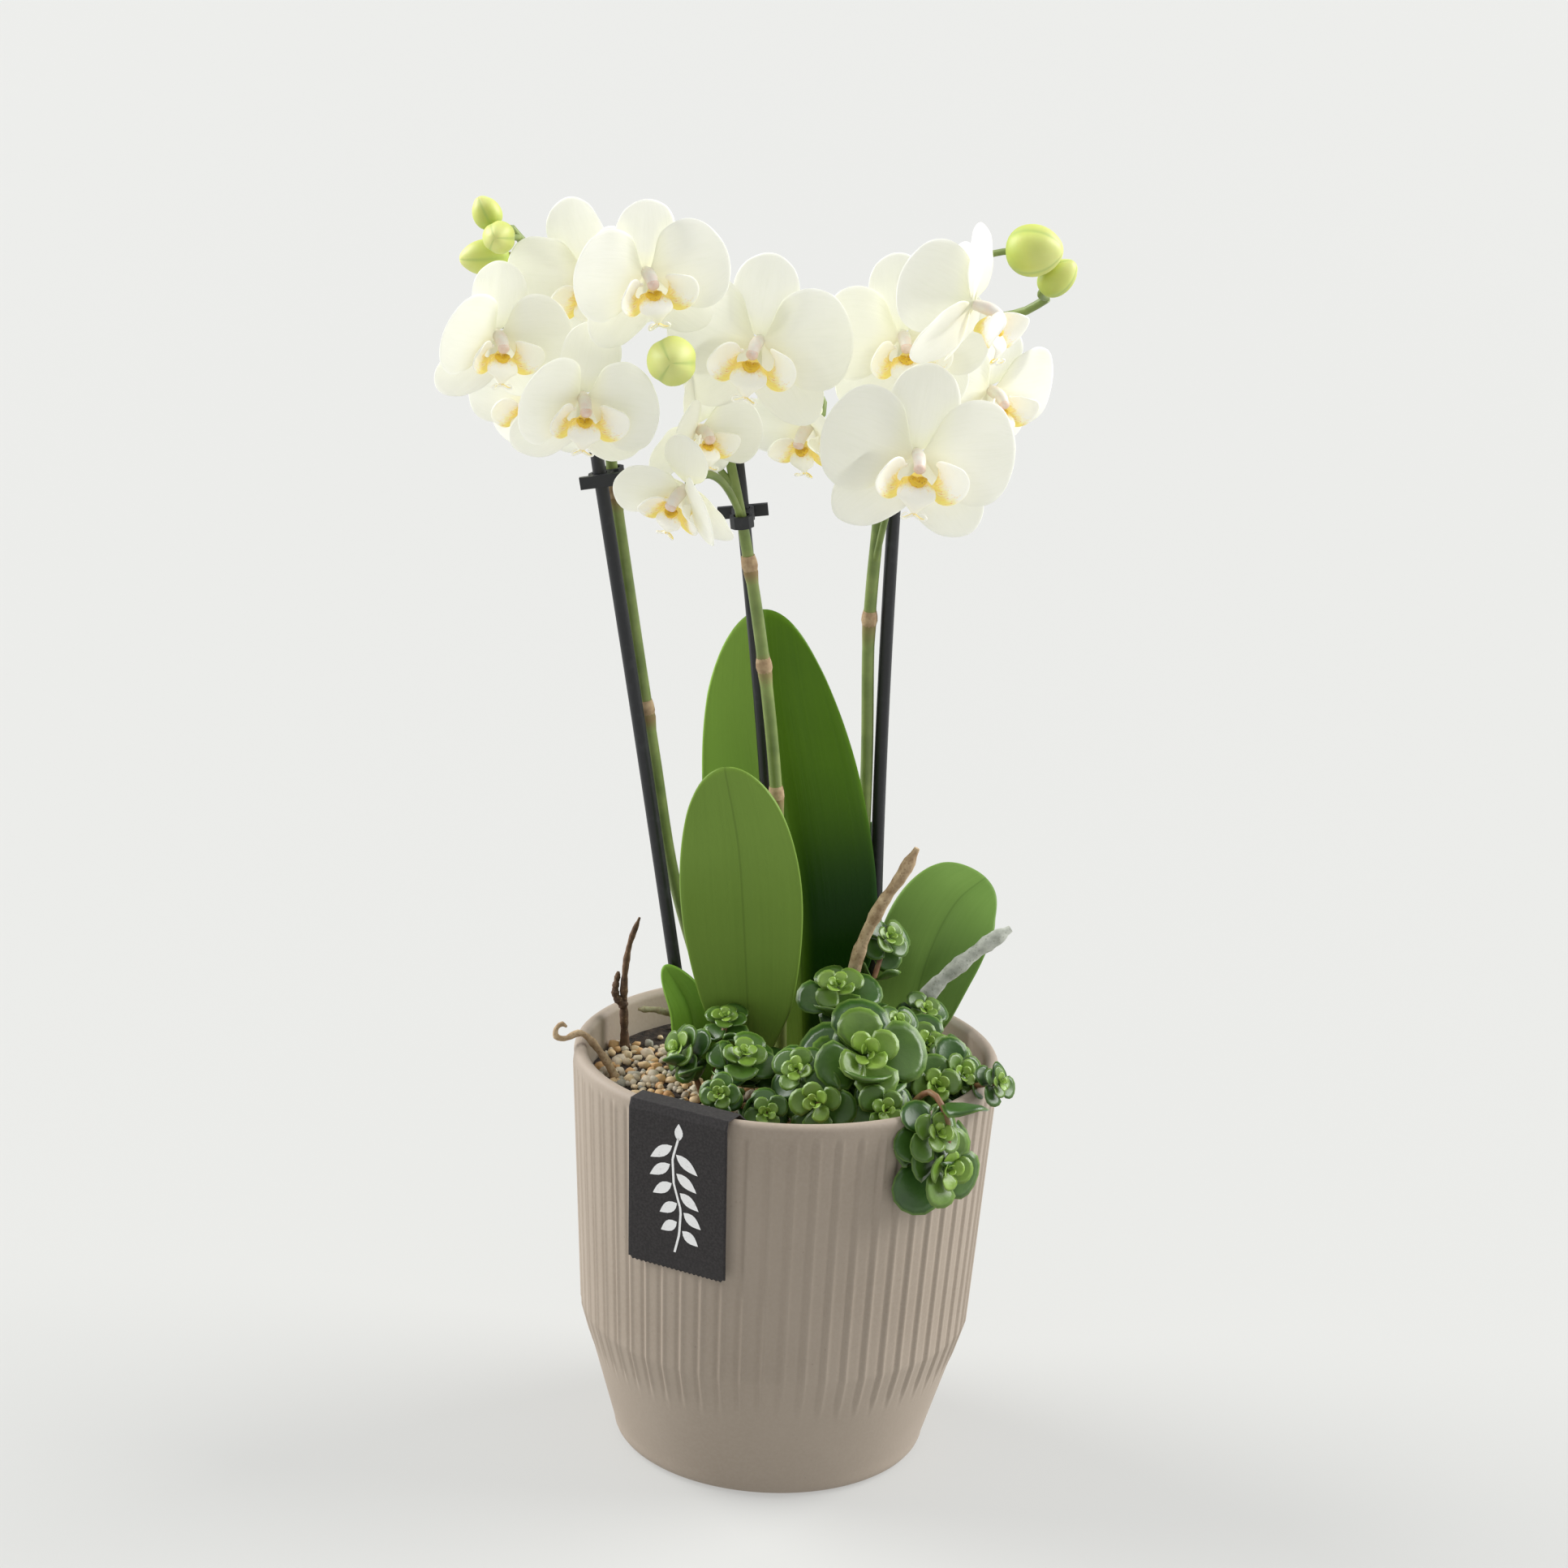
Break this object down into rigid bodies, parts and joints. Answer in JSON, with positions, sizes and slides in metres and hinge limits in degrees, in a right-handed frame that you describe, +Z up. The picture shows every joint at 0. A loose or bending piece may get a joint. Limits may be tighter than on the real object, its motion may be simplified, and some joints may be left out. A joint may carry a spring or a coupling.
{
  "type": "potted orchid",
  "caption": "White miniature moth orchid on staked spikes, planted with stonecrop under gravel in a ribbed ceramic cover pot.",
  "frame": {"origin": "centre of the pot's flat underside, on the surface it stands on", "axes": "+Z up along the pot's axis, -Y towards the front of the arrangement, +X to the right seen from the front"},
  "size_m": [0.1842, 0.1322, 0.3889],
  "materials": {
    "glazed_pot": "matte",
    "soil": "matte",
    "gravel": "matte",
    "card": "matte",
    "stake_plastic": "satin",
    "flower_stem": "satin",
    "orchid_leaf": "satin",
    "petal": "satin",
    "lip": "satin",
    "bud": "satin",
    "dry_root": "matte",
    "silver_root": "matte",
    "sedum": "gloss"
  },
  "bodies": {
    "root": {"pot": "glazed_pot", "potting_mix": "soil", "gravel": "gravel", "label_card": "card", "flower_left_1_tepals": "petal", "flower_left_1_lip": "lip", "flower_left_2_tepals": "petal", "flower_left_2_lip": "lip", "flower_left_3_tepals": "petal", "flower_left_3_lip": "lip", "flower_left_4_tepals": "petal", "flower_left_4_lip": "lip", "flower_left_5_tepals": "petal", "flower_left_5_lip": "lip", "bud_left_1": "bud", "bud_left_2": "bud", "bud_left_3": "bud", "flower_stem_left": "flower_stem", "stake_left": "stake_plastic", "clip_left": "stake_plastic", "flower_middle_1_tepals": "petal", "flower_middle_1_lip": "lip", "flower_middle_2_tepals": "petal", "flower_middle_2_lip": "lip", "flower_middle_3_tepals": "petal", "flower_middle_3_lip": "lip", "flower_middle_4_tepals": "petal", "flower_middle_4_lip": "lip", "bud_middle_1": "bud", "flower_stem_middle": "flower_stem", "stake_middle": "stake_plastic", "clip_middle": "stake_plastic", "flower_right_1_tepals": "petal", "flower_right_1_lip": "lip", "flower_right_2_tepals": "petal", "flower_right_2_lip": "lip", "flower_right_3_tepals": "petal", "flower_right_3_lip": "lip", "flower_right_4_tepals": "petal", "flower_right_4_lip": "lip", "bud_right_1": "bud", "bud_right_2": "bud", "flower_stem_right": "flower_stem", "stake_right": "stake_plastic", "clip_right": "stake_plastic", "leaf_back": "orchid_leaf", "leaf_front": "orchid_leaf", "leaf_right": "orchid_leaf", "leaf_narrow": "orchid_leaf", "leaf_cut": "orchid_leaf", "root_upright_left": "dry_root", "root_level_left": "dry_root", "root_straw_right": "dry_root", "root_curl_left": "dry_root", "root_silver_right": "silver_root", "sedum_left": "sedum", "sedum_middle": "sedum", "sedum_back": "sedum", "sedum_right": "sedum", "sedum_trailing": "sedum"}
  },
  "joints": []
}
